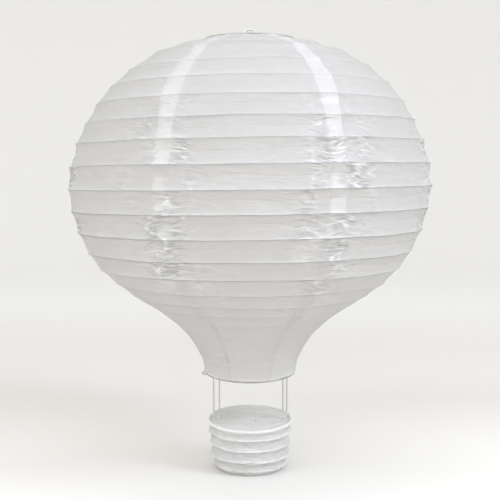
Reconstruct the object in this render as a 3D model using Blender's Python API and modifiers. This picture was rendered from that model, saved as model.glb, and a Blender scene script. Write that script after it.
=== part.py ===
"""Paper lantern in the shape of a hot air balloon, standing on its own paper basket.

Seven paper gores hang on wire ribs between a crown ring and a mouth ring. A bent stretcher wire
runs down inside the envelope, holds it open and carries the basket. Units are metres, +Z is up,
the front is towards -Y, and the origin lies on the floor under the middle of the basket.
"""

import math
from collections import namedtuple

import bmesh
import bpy
from mathutils import Vector

# Driving dimensions
MM = 0.001
TOUCH_GAP = 0.3 * MM            # between pieces that touch on the real lantern
PAPER = 0.8 * MM                # paper with its glue and folds, as thick as its solid gets
RIB_WIRE_R = 0.45 * MM          # wire ribs glued inside the paper
RING_WIRE_R = 0.7 * MM          # heavier wire of the crown, mouth and basket rings
STRETCHER_R = 0.6 * MM          # bent wire that holds the envelope open

# Gores, from the front one to the right round the envelope
GORES = ["front", "front_right", "right", "back_right", "back_left", "left", "front_left"]
FIRST_SEAM = math.radians(-27.3)    # azimuth from the front, positive towards +X
FRONT_WIDTH = math.radians(49.1)    # of the front gore; the others share the rest of the circle
SEAM_GAP = 0.4 * MM                 # between the edges of neighbouring gores
COLUMNS_PER_GORE = 5
COLUMNS = len(GORES) * COLUMNS_PER_GORE

# A ring of the envelope or basket: its outer radius and height in millimetres, how far its plane
# leans down at the front and rolls down at the left in degrees, and how deep the paper between it
# and the next ring is folded in, in millimetres
Ring = namedtuple("Ring", "radius height lean roll fold")

ENVELOPE = [
    Ring(37.9, 359.5, 0.0, 0.0, 0.8),
    Ring(57.9, 354.6, 0.0, 0.3, 1.0),
    Ring(78.7, 347.5, 0.0, 0.5, 1.1),
    Ring(99.6, 334.1, 0.0, 0.7, 1.2),
    Ring(114.8, 320.9, 0.0, 0.7, 1.2),
    Ring(126.6, 306.3, 0.0, 0.7, 1.2),
    Ring(135.6, 290.8, 0.0, 0.7, 1.2),
    Ring(143.3, 274.5, 0.0, 0.7, 1.2),
    Ring(148.4, 256.3, 0.0, 0.7, 1.2),
    Ring(150.0, 238.3, 0.0, 0.7, 1.2),
    Ring(147.6, 220.7, 0.0, 0.7, 1.2),
    Ring(142.6, 202.9, 0.0, 0.6, 1.2),
    Ring(134.4, 186.1, 0.0, 0.5, 1.2),
    Ring(124.5, 172.3, 0.0, 0.3, 1.2),
    Ring(111.6, 160.0, 0.1, 0.1, 1.1),
    Ring(97.9, 149.9, 0.5, 0.0, 0.7),
    Ring(85.7, 142.4, 1.0, 0.0, 0.5),
    Ring(73.3, 134.3, 1.5, 0.0, 0.4),
    Ring(61.7, 125.3, 2.0, 0.0, 0.3),
    Ring(52.3, 115.8, 2.5, 0.0, 0.3),
    Ring(45.2, 104.6, 3.2, 0.0, 0.2),
    Ring(40.9, 95.9, 3.8, 0.0, 0.2),
    Ring(38.8, 88.3, 4.3, 0.0, 0.1),
    Ring(38.3, 84.8, 4.6, 0.0, 0.0),
]

CROWN_RING = Ring(37.5, 359.8, 0.0, 0.0, 0.0)
MOUTH_RING = Ring(38.5, 83.5, 4.6, 0.0, 0.0)

BASKET = [
    Ring(36.2, 41.9, 4.0, 0.0, 1.1),
    Ring(35.4, 32.4, 2.7, 0.0, 1.1),
    Ring(34.6, 22.2, 1.4, 0.0, 1.1),
    Ring(34.3, 12.2, 0.5, 0.0, 1.0),
    Ring(31.3, 3.8, 0.0, 0.0, 0.0),
    Ring(29.9, 0.4, 0.0, 0.0, 0.0),
]
BASE_RADIUS = 28.5 * MM         # paper disc that the lantern stands on
DECK_RADIUS = 34.2 * MM         # paper disc that closes the basket just under its rim
DECK_TOP = 41.0 * MM
RIM_RING_INSET = 2.2 * MM       # from the rim's outer edge to the wire ring that carries the deck

# Stretcher: a main leg and a return leg on each side, at these distances from the axis
LEFT_MAIN_X = -26.0 * MM
LEFT_RETURN_X = -30.9 * MM
RIGHT_MAIN_X = 27.9 * MM
RIGHT_RETURN_X = 31.3 * MM
BEND_SIZE = 6.0 * MM            # how far under its curl a return leg starts to lean out
RETURN_BEND = [(0.0, 1.0), (0.15, 0.4), (0.35, 0.1)]    # shares of that: outward, down
LOOP_TOP = 368.5 * MM           # top of the hanging loop
LOOP_R = 6.0 * MM               # on its centre line, like the curls' radius below
LOOP_FOOT_X = 8.4 * MM          # where the bar turns up into the loop
LOOP_OVERRUN = 15               # degrees that the loop's arc runs past a half circle on each side
CURL_R = 1.5 * MM
LEFT_CURL = (-39.1 * MM, 80.6 * MM)     # x and z of the curl, outside the mouth ring
RIGHT_CURL = (35.0 * MM, 85.2 * MM)     # x and z of the curl, inside the mouth ring

MATERIALS = {
    # name: colour (linear), roughness, metallic
    "white_paper": ((0.80, 0.79, 0.77), 0.75, 0.0),
    "deck_paper": ((0.66, 0.66, 0.65), 0.80, 0.0),
    "rib_wire": ((0.60, 0.59, 0.57), 0.45, 0.8),
    "bright_wire": ((0.66, 0.66, 0.66), 0.35, 0.9),
}


def clear_scene():
    """Remove what a new file holds, and start a collection for the lantern."""
    for item in list(bpy.data.objects):
        bpy.data.objects.remove(item, do_unlink=True)
    parts = bpy.data.collections.new("paper_lantern_balloon")
    bpy.context.scene.collection.children.link(parts)
    return parts


def make_material(name):
    colour, roughness, metallic = MATERIALS[name]
    material = bpy.data.materials.new(name)
    material.use_nodes = True
    shader = material.node_tree.nodes["Principled BSDF"]
    shader.inputs["Base Color"].default_value = (*colour, 1.0)
    shader.inputs["Roughness"].default_value = roughness
    shader.inputs["Metallic"].default_value = metallic
    return material


def add_object(parts, name, data, material_name):
    piece = bpy.data.objects.new(name, data)
    data.materials.append(make_material(material_name))
    parts.objects.link(piece)
    return piece


def ring_point(ring, azimuth, inset=0.0, rise=0.0):
    """Point of a ring at an azimuth from the front, moved in by inset and up by rise."""
    radius = ring.radius * MM - inset
    x = radius * math.sin(azimuth)
    y = -radius * math.cos(azimuth)
    z = ring.height * MM + rise
    z += y * math.tan(math.radians(ring.lean))
    z += x * math.tan(math.radians(ring.roll))
    return Vector((x, y, z))


def outward(rings, index):
    """Unit normal (radial, up) of the profile at one ring."""
    above = rings[max(index - 1, 0)]
    below = rings[min(index + 1, len(rings) - 1)]
    along = Vector((below.radius - above.radius, below.height - above.height))
    along.normalize()
    return Vector((-along.y, along.x))


def with_folds(rings):
    """The rings, with the line between each two where the paper is folded in."""
    lines = [rings[0]]
    for upper, lower in zip(rings, rings[1:]):
        along = Vector((lower.radius - upper.radius, lower.height - upper.height)).normalized()
        radius = (upper.radius + lower.radius) / 2 + upper.fold * along.y
        height = (upper.height + lower.height) / 2 - upper.fold * along.x
        lean = (upper.lean + lower.lean) / 2
        roll = (upper.roll + lower.roll) / 2
        if upper.fold:
            lines.append(Ring(radius, height, lean, roll, 0.0))
        lines.append(lower)
    return lines


def paper_strip(rings, azimuths, edge_gap):
    """Open paper surface through the rings, from the first azimuth to the last."""
    surface = bmesh.new()
    rows = []
    for ring in with_folds(rings):
        row = []
        for column, azimuth in enumerate(azimuths):
            trim = edge_gap / (2 * ring.radius * MM)
            if column == 0:
                azimuth += trim
            if column == len(azimuths) - 1:
                azimuth -= trim
            row.append(surface.verts.new(ring_point(ring, azimuth)))
        rows.append(row)
    for upper, lower in zip(rows, rows[1:]):
        for left in range(len(azimuths) - 1):
            corners = (upper[left], lower[left], lower[left + 1], upper[left + 1])
            surface.faces.new(corners)
    return surface


def paper_shell(parts, name, surface, material_name):
    """Give an open surface the thickness of the paper, on its inner side."""
    bmesh.ops.recalc_face_normals(surface, faces=surface.faces)
    middle = surface.faces[len(surface.faces) // 2]
    centre = middle.calc_center_median()
    if middle.normal.x * centre.x + middle.normal.y * centre.y < 0:
        bmesh.ops.reverse_faces(surface, faces=surface.faces)
    mesh = bpy.data.meshes.new(name)
    surface.to_mesh(mesh)
    surface.free()
    shell = add_object(parts, name, mesh, material_name)
    solidify = shell.modifiers.new("paper", "SOLIDIFY")
    solidify.thickness = PAPER
    solidify.offset = -1.0
    solidify.use_even_offset = True
    return shell


def wire(parts, name, points, wire_radius, sides_step, closed, material_name):
    """Round wire along points: a curve with filled caps, or a closed ring."""
    curve = bpy.data.curves.new(name, "CURVE")
    curve.dimensions = "3D"
    curve.bevel_depth = wire_radius
    curve.bevel_resolution = sides_step
    curve.use_fill_caps = not closed
    spline = curve.splines.new("POLY")
    spline.points.add(len(points) - 1)
    for spot, point in zip(spline.points, points):
        spot.co = (*point, 1.0)
    spline.use_cyclic_u = closed
    return add_object(parts, name, curve, material_name)


def gore_azimuths(gore):
    """Azimuths of the columns of one gore, from its left seam to its right one."""
    other_width = (2 * math.pi - FRONT_WIDTH) / (len(GORES) - 1)
    width = other_width if gore else FRONT_WIDTH
    left = FIRST_SEAM + FRONT_WIDTH + (gore - 1) * other_width if gore else FIRST_SEAM
    return [left + width * column / COLUMNS_PER_GORE for column in range(COLUMNS_PER_GORE + 1)]


def ring_azimuths():
    """Azimuths of a whole ring, so that wires and gores bend at the same columns."""
    return [azimuth for gore in range(len(GORES)) for azimuth in gore_azimuths(gore)[:-1]]


def ring_wire(parts, name, ring, wire_radius, sides_step, material_name):
    """Wire ring whose outer side lies on a ring."""
    points = [ring_point(ring, azimuth, inset=wire_radius) for azimuth in ring_azimuths()]
    return wire(parts, name, points, wire_radius, sides_step, True, material_name)


def rib_wire(parts, name, rings, index):
    """Wire rib that runs inside the ridge of the paper at one ring."""
    depth = PAPER + TOUCH_GAP + RIB_WIRE_R
    normal = outward(rings, index)
    points = [
        ring_point(rings[index], azimuth, inset=depth * normal.x, rise=-depth * normal.y)
        for azimuth in ring_azimuths()
    ]
    return wire(parts, name, points, RIB_WIRE_R, 0, True, "rib_wire")


def build_envelope(parts):
    for gore, place in enumerate(GORES):
        surface = paper_strip(ENVELOPE, gore_azimuths(gore), SEAM_GAP)
        paper_shell(parts, f"envelope_gore_{place}", surface, "white_paper")
    for index in range(1, len(ENVELOPE) - 1):
        rib_wire(parts, f"envelope_rib_{index:02d}", ENVELOPE, index)
    ring_wire(parts, "crown_ring", CROWN_RING, RING_WIRE_R, 1, "bright_wire")
    ring_wire(parts, "mouth_ring", MOUTH_RING, RING_WIRE_R, 1, "bright_wire")


def disc(parts, name, radius, top_z, lean):
    """Flat paper disc on the axis, with its top at a height."""
    shape = bmesh.new()
    bmesh.ops.create_cone(
        shape,
        cap_ends=True,
        segments=COLUMNS,
        radius1=radius,
        radius2=radius,
        depth=PAPER,
    )
    bmesh.ops.translate(shape, verts=shape.verts, vec=(0, 0, -PAPER / 2))
    mesh = bpy.data.meshes.new(name)
    shape.to_mesh(mesh)
    shape.free()
    piece = add_object(parts, name, mesh, "deck_paper")
    piece.location = (0, 0, top_z)
    piece.rotation_euler = (math.radians(lean), 0, 0)


def arc(centre, radius, start, end, steps):
    """Points of an arc in the plane of the stretcher, angles in degrees from +X towards +Z."""
    points = []
    for step in range(steps + 1):
        angle = math.radians(start + (end - start) * step / steps)
        x = centre[0] + radius * math.cos(angle)
        z = centre[1] + radius * math.sin(angle)
        points.append(Vector((x, 0, z)))
    return points


def build_top_bar(parts):
    """Bar under the crown ring, bent up in its middle into the hanging loop."""
    bar_z = CROWN_RING.height * MM - RING_WIRE_R - TOUCH_GAP - STRETCHER_R
    loop_z = LOOP_TOP - STRETCHER_R - LOOP_R
    end_x = CROWN_RING.radius * MM - TOUCH_GAP
    points = [Vector((-end_x, 0, bar_z)), Vector((-LOOP_FOOT_X, 0, bar_z))]
    points += arc((0, loop_z), LOOP_R, 180 + LOOP_OVERRUN, -LOOP_OVERRUN, 10)
    points += [Vector((LOOP_FOOT_X, 0, bar_z)), Vector((end_x, 0, bar_z))]
    wire(parts, "stretcher_top_bar", points, STRETCHER_R, 2, False, "bright_wire")
    return bar_z


def build_leg(parts, side, main_x, return_x, curl, bar_z):
    """Leg from the top bar to the deck, U-bend, and return up to a curl on the mouth ring."""
    bend_r = abs(return_x - main_x) / 2
    bend_x = (main_x + return_x) / 2
    bend_z = DECK_TOP + TOUCH_GAP + STRETCHER_R + bend_r
    out = 1 if return_x > 0 else -1
    points = [Vector((main_x, 0, bar_z - STRETCHER_R - TOUCH_GAP))]
    if out > 0:
        points += arc((bend_x, bend_z), bend_r, 180, 360, 8)
    else:
        points += arc((bend_x, bend_z), bend_r, 0, -180, 8)
    lowest = curl[1] - CURL_R
    for share_out, share_down in RETURN_BEND:
        x = return_x + out * share_out * BEND_SIZE
        points.append(Vector((x, 0, lowest - share_down * BEND_SIZE)))
    if out > 0:
        points += arc(curl, CURL_R, -90, 150, 8)
    else:
        points += arc(curl, CURL_R, -90, -330, 8)
    wire(parts, f"stretcher_leg_{side}", points, STRETCHER_R, 2, False, "bright_wire")


def build_stretcher(parts):
    bar_z = build_top_bar(parts)
    build_leg(parts, "left", LEFT_MAIN_X, LEFT_RETURN_X, LEFT_CURL, bar_z)
    build_leg(parts, "right", RIGHT_MAIN_X, RIGHT_RETURN_X, RIGHT_CURL, bar_z)


def build_basket(parts):
    steps = ring_azimuths()
    surface = paper_strip(BASKET, [*steps, steps[0] + 2 * math.pi], 0.0)
    bmesh.ops.remove_doubles(surface, verts=surface.verts, dist=0.01 * MM)
    paper_shell(parts, "basket_wall", surface, "white_paper")
    rim = BASKET[0]
    rim_ring_z = DECK_TOP - PAPER - TOUCH_GAP - RING_WIRE_R
    rim_ring = Ring(rim.radius - RIM_RING_INSET / MM, rim_ring_z / MM, rim.lean, 0.0, 0.0)
    ring_wire(parts, "basket_rim_ring", rim_ring, RING_WIRE_R, 0, "bright_wire")
    for index in range(1, len(BASKET) - 1):
        rib_wire(parts, f"basket_rib_{index:02d}", BASKET, index)
    base_ring_z = PAPER + TOUCH_GAP + RING_WIRE_R
    base_ring = Ring(BASE_RADIUS / MM, base_ring_z / MM, 0.0, 0.0, 0.0)
    ring_wire(parts, "basket_base_ring", base_ring, RING_WIRE_R, 0, "bright_wire")
    disc(parts, "basket_deck", DECK_RADIUS, DECK_TOP, rim.lean)
    disc(parts, "basket_base", BASE_RADIUS, PAPER, 0.0)


def main():
    parts = clear_scene()
    build_envelope(parts)
    build_stretcher(parts)
    build_basket(parts)


main()
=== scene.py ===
# %% [markdown]
# # A paper lantern shaped like a hot air balloon
#
# The object is a white paper lantern: seven gores of thin paper are glued over wire rings, a bent
# wire inside holds the rings apart, and a small paper basket stands under it on the same wire.
# A finished frame gives every piece its place and size. This script dresses that frame: it makes
# the crumpled paper, the round wire and the studio around them.

# %% Load the frame
import math
from collections import namedtuple

import bmesh
import bpy
from mathutils import Matrix, Vector, noise


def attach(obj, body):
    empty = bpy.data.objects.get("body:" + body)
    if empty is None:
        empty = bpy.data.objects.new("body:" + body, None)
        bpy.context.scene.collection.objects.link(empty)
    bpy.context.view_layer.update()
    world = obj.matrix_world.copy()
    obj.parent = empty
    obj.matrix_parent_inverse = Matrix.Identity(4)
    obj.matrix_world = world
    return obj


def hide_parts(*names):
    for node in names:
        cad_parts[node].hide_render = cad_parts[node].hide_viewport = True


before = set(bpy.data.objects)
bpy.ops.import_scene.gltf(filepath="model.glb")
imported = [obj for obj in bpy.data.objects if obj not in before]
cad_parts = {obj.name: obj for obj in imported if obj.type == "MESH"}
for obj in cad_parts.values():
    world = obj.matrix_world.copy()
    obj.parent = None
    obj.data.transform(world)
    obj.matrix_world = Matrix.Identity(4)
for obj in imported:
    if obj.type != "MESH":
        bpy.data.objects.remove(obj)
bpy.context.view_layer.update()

MM = 0.001

# %% [markdown]
# ## Shader maths that reads like Python
#
# A material is a graph of nodes, and a formula such as 1 - mask takes a node for each operation.
# It could be wired node by node, but that hides the formula. The small class below wraps one
# output of a node, so that an expression adds its own Math nodes. Its method node() adds any other
# kind, with its settings first and the values or links of its inputs after them.

# %% A socket with operators
class Socket:
    """One output of a node in a material."""

    def __init__(self, tree, output):
        self.tree = tree
        self.output = output

    def node(self, kind, settings, sockets, output=0):
        made = self.tree.nodes.new(kind)
        for setting, value in settings.items():
            setattr(made, setting, value)
        for place, value in sockets.items():
            if isinstance(value, Socket):
                self.tree.links.new(value.output, made.inputs[place])
            else:
                made.inputs[place].default_value = value
        return Socket(self.tree, made.outputs[output])

    def maths(self, operation, first, second=0.0):
        return self.node("ShaderNodeMath", {"operation": operation}, {0: first, 1: second})

    def __add__(self, other):
        return self.maths("ADD", self, other)

    def __sub__(self, other):
        return self.maths("SUBTRACT", self, other)

    def __rsub__(self, other):
        return self.maths("SUBTRACT", other, self)

    def __mul__(self, other):
        return self.maths("MULTIPLY", self, other)

    __radd__ = __add__
    __rmul__ = __mul__


# %% [markdown]
# ## Starting a material
#
# Every finish here starts from the same place: a Principled shader, and the object's own
# coordinates to draw patterns with. Those are in metres and each piece lies in its final place,
# so a pattern has the same grain on every piece. Each finish could build its own noise, mixes of
# colours and bumps. Small functions for these steps keep the finishes short and alike.

# %% Start a material
def start_material(name, roughness, metallic):
    """A material with a Principled shader, the shader itself, and the object coordinates."""
    material = bpy.data.materials.new(name)
    material.use_nodes = True
    tree = material.node_tree
    shader = tree.nodes["Principled BSDF"]
    shader.inputs["Roughness"].default_value = roughness
    shader.inputs["Metallic"].default_value = metallic
    coordinates = tree.nodes.new("ShaderNodeTexCoord")
    return material, shader, Socket(tree, coordinates.outputs["Object"])


def link(shader, values):
    """Link sockets to a shader's inputs, each by the input's name."""
    for place, value in values.items():
        value.tree.links.new(value.output, shader.inputs[place])


# %% Steps that the finishes share
def in_patches(place, size, stretch):
    """The place counted in patches of a size, longer where stretch is over 1."""
    scale = [1.0 / (size * factor) for factor in stretch]
    return place.node("ShaderNodeMapping", {}, {"Vector": place, "Scale": scale})


def noise_value(place, size, detail=2.0, stretch=(1.0, 1.0, 1.0)):
    """Noise from 0 to 1 in patches of a size."""
    point = in_patches(place, size, stretch)
    settings = {"Vector": point, "Scale": 1.0, "Detail": detail, "Roughness": 0.6}
    return place.node("ShaderNodeTexNoise", {}, settings)


def blend(share, low, high):
    """Colour from low to high as share goes from 0 to 1."""
    low, high = (end if isinstance(end, Socket) else (*end, 1.0) for end in (low, high))
    return share.node(
        "ShaderNodeMix", {"data_type": "RGBA"}, {"Factor": share, 6: low, 7: high}, output=2
    )


def clamped(value):
    """The value kept between 0 and 1."""
    return value.node("ShaderNodeClamp", {}, {"Value": value})


def bumped(height, distance=1.0, strength=1.0):
    """Normal of a surface whose relief is a height, in units of the distance."""
    return height.node(
        "ShaderNodeBump", {}, {"Height": height, "Distance": distance, "Strength": strength}
    )


# %% [markdown]
# ## Lantern paper
#
# The paper is thin, white and a little fibrous. Part of the light passes through it: that is why
# the glued seams, where it lies double and less gets through, look whiter on the lit side and a
# little darker in the neck, where the light comes from inside. So the shader mixes a Principled
# surface with a Translucent one. Each sheet is modelled as a thin wall with two faces, and light
# crosses both, so each face passes nearly half of the light and the sheet about a fifth of it.
#
# Crumples too fine for the mesh go into the bump. Noise whose sign is dropped has sharp valleys,
# and the edges of Voronoi cells are the edges between flat facets. The same edges also get a
# painted highlight in the colour, and a painted shade beside it, where light and shade would
# fall on such folds. An image of crumpled paper could do it too, but it would not follow the
# seams and ribs.
# These patterns do: each sheet's mesh carries its distances from them in the layers named here.

# %% Patterns of folded paper
def unsigned(value):
    """The value without its sign."""
    return value.maths("ABSOLUTE", value)


def folds(place, size, stretch):
    """Noise about zero. Its zero lines wander over a sheet as the edges of folds do."""
    return noise_value(place, size, 1.5, stretch) - 0.5


def ridges(place, size, stretch):
    """Sharp valleys along the zero lines of such folds."""
    return unsigned(folds(place, size, stretch))


def facet_edges(place, size, stretch):
    """Distance from the nearest edge between the flat facets of crumpled paper."""
    return place.node(
        "ShaderNodeTexVoronoi",
        {"feature": "DISTANCE_TO_EDGE"},
        {"Vector": in_patches(place, size, stretch), "Scale": 1.0},
        output="Distance",
    )


def fading(distance, reach):
    """1 where a distance is zero, fading out over a reach."""
    share = distance * (-1.0 / reach)
    return share.maths("EXPONENT", share)


def bell(distance, width):
    """1 where a distance is zero, falling to 0 on both sides over a width."""
    share = distance * (1.0 / width)
    square = share * share * -1.0
    return square.maths("EXPONENT", square)


# %% Layers of a sheet of paper
PaperLayers = namedtuple("PaperLayers", [
    "past_strip",       # distance past the upper sheet of a glued seam, negative on it
    "crumpled",         # how crumpled the paper is, from 0 to 1
    "to_crease",        # distance from the long crease of a band, negative above it
    "to_rib",           # distance from the nearest rib
    "over_rib",         # distance above the rib below
    "strip_shows",      # how plainly a double strip shows, up to 1, and below 0 where it is dark
])
print("layers of a sheet:", len(PaperLayers._fields))

# %% Patterns that relief and colour share
FIBRE_SIZE = 1.2 * MM
DRIFT_SIZE = 30 * MM            # patches in which the folds drift together
DRIFT = 14 * MM                 # how far they rise and fall on their way round
PaperPatterns = namedtuple("PaperPatterns", [
    "fibres",           # felt of the paper
    "cockle",           # shallow unevenness from the glue and the damp
    "lines",            # faint long lines all over the paper
    "large",            # large crumples
    "small",            # small folds, as noise about zero
    "edges",            # distance from the edges between flat facets
    "broken",           # patches that break up the creases and the ribs
    "streaks",          # short streaks that break up the glints
])


def paper_patterns(place):
    """The patterns of a paper at a place."""
    drift = noise_value(place, DRIFT_SIZE, 1.0) * DRIFT
    drift = place.node("ShaderNodeCombineXYZ", {}, {"Z": drift})
    drifted = place.node("ShaderNodeVectorMath", {"operation": "ADD"}, {0: place, 1: drift})
    streaks = noise_value(place, 2.6 * MM, 1.0, stretch=(3.0, 3.0, 0.8)) * 5.0 - 2.0
    return PaperPatterns(
        fibres=noise_value(place, FIBRE_SIZE, 4.0),
        cockle=noise_value(place, 5.0 * MM, 2.0, stretch=(1.6, 1.6, 0.6)),
        lines=ridges(drifted, 12 * MM, (4.0, 4.0, 0.35)),
        large=ridges(drifted, 8 * MM, (3.6, 3.6, 0.55)),
        small=folds(drifted, 3.6 * MM, (3.4, 3.4, 0.60)),
        edges=facet_edges(drifted, 9 * MM, (2.4, 2.4, 0.60)),
        broken=noise_value(place, 14 * MM, 1.0, stretch=(2.0, 2.0, 1.0)),
        streaks=clamped(streaks),
    )


print("patterns of the paper:", len(PaperPatterns._fields))

# %% Relief in the bump
FIBRE_DEPTH = 0.03 * MM
COCKLE_DEPTH = 0.20 * MM
LINE_DEPTH = 0.8 * MM           # of the faint long lines
LARGE_FOLD = 7.0 * MM           # of the large crumples, for each unit of their noise
SMALL_FOLD = 3.4 * MM           # of the small folds
FACET_FOLD = 2.8 * MM           # of the flat facets
CREASE_WIDTH = 0.8 * MM         # of the long crease of a band
CREASE_DEPTH = 0.25 * MM
FOLD_TILT = 0.18                # most that the bump adds to the slope on each side of it
RIB_REACH = 1.0 * MM            # how far on each side of a rib the paper curves out to meet it
RIB_RISE = 0.22 * MM            # how far it stands out on the rib


def paper_height(layers, patterns):
    """Height of the surface: its grain, its crumples, the long crease and the ribs."""
    grain = patterns.fibres * FIBRE_DEPTH + patterns.cockle * COCKLE_DEPTH
    grain = grain + patterns.lines * LINE_DEPTH
    folded = patterns.large * LARGE_FOLD + unsigned(patterns.small) * SMALL_FOLD
    folded = folded - patterns.edges * FACET_FOLD
    groove = bell(layers.to_crease, CREASE_WIDTH) * patterns.broken * CREASE_DEPTH
    tilt = unsigned(layers.to_crease) * patterns.broken * FOLD_TILT
    on_rib = fading(layers.to_rib, RIB_REACH) * (patterns.broken + 0.5) * RIB_RISE
    return grain + layers.crumpled * folded - groove + tilt + on_rib


print("finest and coarsest relief, mm for each unit of noise:",
      round(FIBRE_DEPTH / MM, 2), round(LARGE_FOLD / MM, 2))

# %% Glints and shade on the folds
GLINT_WIDTH = 0.07              # of the edge between two facets, as a share of a facet
LARGE_GLINT = 1.25              # how bright the edges of the facets are
SMALL_GLINT = 0.8               # and the small folds
GLINT_COLOUR = (0.97, 0.97, 0.97)
RIB_HIGHLIGHT_REACH = 1.4 * MM         # how far over a rib the painted highlight reaches, where the paper leans back on the wire
SHADE_PLACE = 2.2 * GLINT_WIDTH     # how far beside an edge its shade is deepest
PAINTED_FOLD_SHADE = 0.46                # how dark that painted shade is
PAINTED_SHADE_COLOUR = (0.42, 0.41, 0.40)


def paper_glint(layers, patterns, rib_shine):
    """Painted highlight, from 0 to 1: on the paper's folds, and where it leans on a rib."""
    # painted highlights on the edges of the facets and on the small folds
    glint = bell(patterns.edges, GLINT_WIDTH) * patterns.streaks * LARGE_GLINT
    glint = glint + bell(patterns.small, GLINT_WIDTH / 2) * SMALL_GLINT
    # painted highlight along the top of each rib, where the paper leans on the wire
    rib_highlight = fading(layers.over_rib, RIB_HIGHLIGHT_REACH) * (patterns.broken * 1.6 - 0.2)
    return clamped(layers.crumpled * glint + rib_highlight * rib_shine)


def paper_colour(layers, patterns, glint, dark, light):
    """Colour of the paper, with painted highlights where it glints and painted shade beside the
    edges of its facets.
    """
    # painted shade beside each edge of a facet
    shade = bell(patterns.edges - SHADE_PLACE, GLINT_WIDTH) * (1.4 - patterns.streaks)
    shade = clamped(layers.crumpled * shade)
    colour = blend(patterns.fibres * 0.6 + patterns.cockle * 0.4, dark, light)
    # painted highlight first, then painted shade
    colour = blend(glint, colour, GLINT_COLOUR)
    return blend(shade * PAINTED_FOLD_SHADE, colour, PAINTED_SHADE_COLOUR)


print("shade beside an edge, as a share of a facet:", round(SHADE_PLACE, 2))

# %% Light through the paper
SHEET_PASSES = 0.46             # share of the light that passes each face of a sheet
STRIP_PASSES = 0.26             # the same for the upper sheet of a glued seam
STRIP_PATCH = 8 * MM            # size of the patches in which a faint strip shows
GLINT_STOPS = 0.75              # share of the light that a glint keeps from passing through


def share_passed(layers, place, glint, passes, double_passes):
    """Share of the light that passes, less on a double strip and on a glint."""
    on_strip = layers.past_strip.maths("LESS_THAN", layers.past_strip, 0.0)
    patch = noise_value(place, STRIP_PATCH, 2.0, stretch=(1.6, 1.6, 0.7)) * 3.6 - 1.3
    shown = clamped(layers.strip_shows * 2.0 - 1.0 + clamped(patch))
    # below 0 the strip shows a little darker than the paper beside it
    shown = shown + layers.strip_shows.maths("MINIMUM", layers.strip_shows, 0.0)
    share = passes + on_strip * shown * (double_passes - passes)
    return share * (1.0 - glint * GLINT_STOPS)


print("light that passes both faces of a sheet:", round(SHEET_PASSES ** 2, 2))

# %% The two papers
PAPER_DARK = (0.790, 0.777, 0.751)
PAPER_LIGHT = (0.858, 0.850, 0.834)
BASKET_DARK = (0.815, 0.803, 0.780)
BASKET_LIGHT = (0.890, 0.880, 0.865)
BASKET_PASSES = 0.36            # its paper is thicker


def make_paper(name, dark, light, passes, double_passes, rib_shine, roughness=0.42):
    """Thin paper that passes a share of the light through each face."""
    material, shader, place = start_material(name, roughness, 0.0)
    layers = PaperLayers(*[
        place.node("ShaderNodeAttribute", {"attribute_name": layer}, {}, output="Fac")
        for layer in PaperLayers._fields
    ])
    patterns = paper_patterns(place)
    bump = bumped(paper_height(layers, patterns))
    glint = paper_glint(layers, patterns, rib_shine)
    colour = paper_colour(layers, patterns, glint, dark, light)
    rough = roughness - patterns.fibres * 0.12 - layers.crumpled * 0.08
    link(shader, {"Base Color": colour, "Normal": bump, "Roughness": rough})

    share = share_passed(layers, place, glint, passes, double_passes)
    through = place.node("ShaderNodeBsdfTranslucent", {}, {"Color": (*light, 1.0), "Normal": bump})
    front = Socket(place.tree, shader.outputs["BSDF"])
    mixed = place.node("ShaderNodeMixShader", {}, {0: share, 1: front, 2: through})
    output = place.tree.nodes["Material Output"]
    place.tree.links.new(mixed.output, output.inputs["Surface"])
    print("material:", name)
    return material


lantern_paper = make_paper(
    "crumpled_white_paper", PAPER_DARK, PAPER_LIGHT, SHEET_PASSES, STRIP_PASSES, rib_shine=0.75
)
basket_paper = make_paper(
    "thick_white_paper", BASKET_DARK, BASKET_LIGHT, BASKET_PASSES, 0.0, rib_shine=1.30
)

# %% [markdown]
# ## Card
#
# The basket's deck and base are thicker and greyer than the paper, and no light comes through
# them. So a plain Principled surface is enough. Fibres tint it and roughen it, and wide shallow
# dents, from pressing the deck down over the wire, go into the bump.

# %% Card
CARD_DARK = (0.75, 0.745, 0.715)
CARD_LIGHT = (0.87, 0.865, 0.83)
CARD_FIBRE = 0.05 * MM          # depth of its fibres
CARD_DENT = 1.8 * MM            # height of its dents for each unit of their noise


def make_card(name, dark, light, roughness):
    """Thick paper with fibres and shallow dents."""
    material, shader, place = start_material(name, roughness, 0.0)
    fibres = noise_value(place, FIBRE_SIZE, 4.0)
    stains = noise_value(place, 16 * MM, 2.0)
    dents = ridges(place, 12 * MM, (1.6, 0.8, 1.0))
    bump = bumped(fibres * CARD_FIBRE + dents * CARD_DENT)
    colour = blend(fibres * 0.4 + stains * 0.6, dark, light)
    link(shader, {"Base Color": colour, "Normal": bump, "Roughness": roughness - fibres * 0.12})
    print("material:", name)
    return material


card = make_card("pale_grey_card", CARD_DARK, CARD_LIGHT, 0.75)

# %% [markdown]
# ## Steel wire
#
# All the wire is plain drawn steel. Drawing leaves fine scratches along it and handling leaves
# duller patches. A patch of noise sets the roughness, and a little bump breaks the highlight.
# The ribs and rings of the envelope are dull, the basket's rings are brighter, and the top bar
# with its loop is polished. The legs are worn, and painted lighter low down where they stand in
# the basket, as painted light against the shade near the deck.
# One function with a few numbers makes them all, so that they look like the same steel.

# %% Wire
LEG_END_PAINTED_LIGHT = (0.80, 0.80, 0.78)
PAINTED_LIGHT_EDGE = 3 * MM            # height over which the painted light at the end fades


def smooth_step(value, low, high):
    """0 where the value is low, 1 where it is high, and a smooth step between."""
    return value.node(
        "ShaderNodeMapRange",
        {"interpolation_type": "SMOOTHSTEP"},
        {"Value": value, "From Min": low, "From Max": high},
    )


def coordinate(place, axis):
    return place.node("ShaderNodeSeparateXYZ", {}, {"Vector": place}, output=axis)


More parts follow.
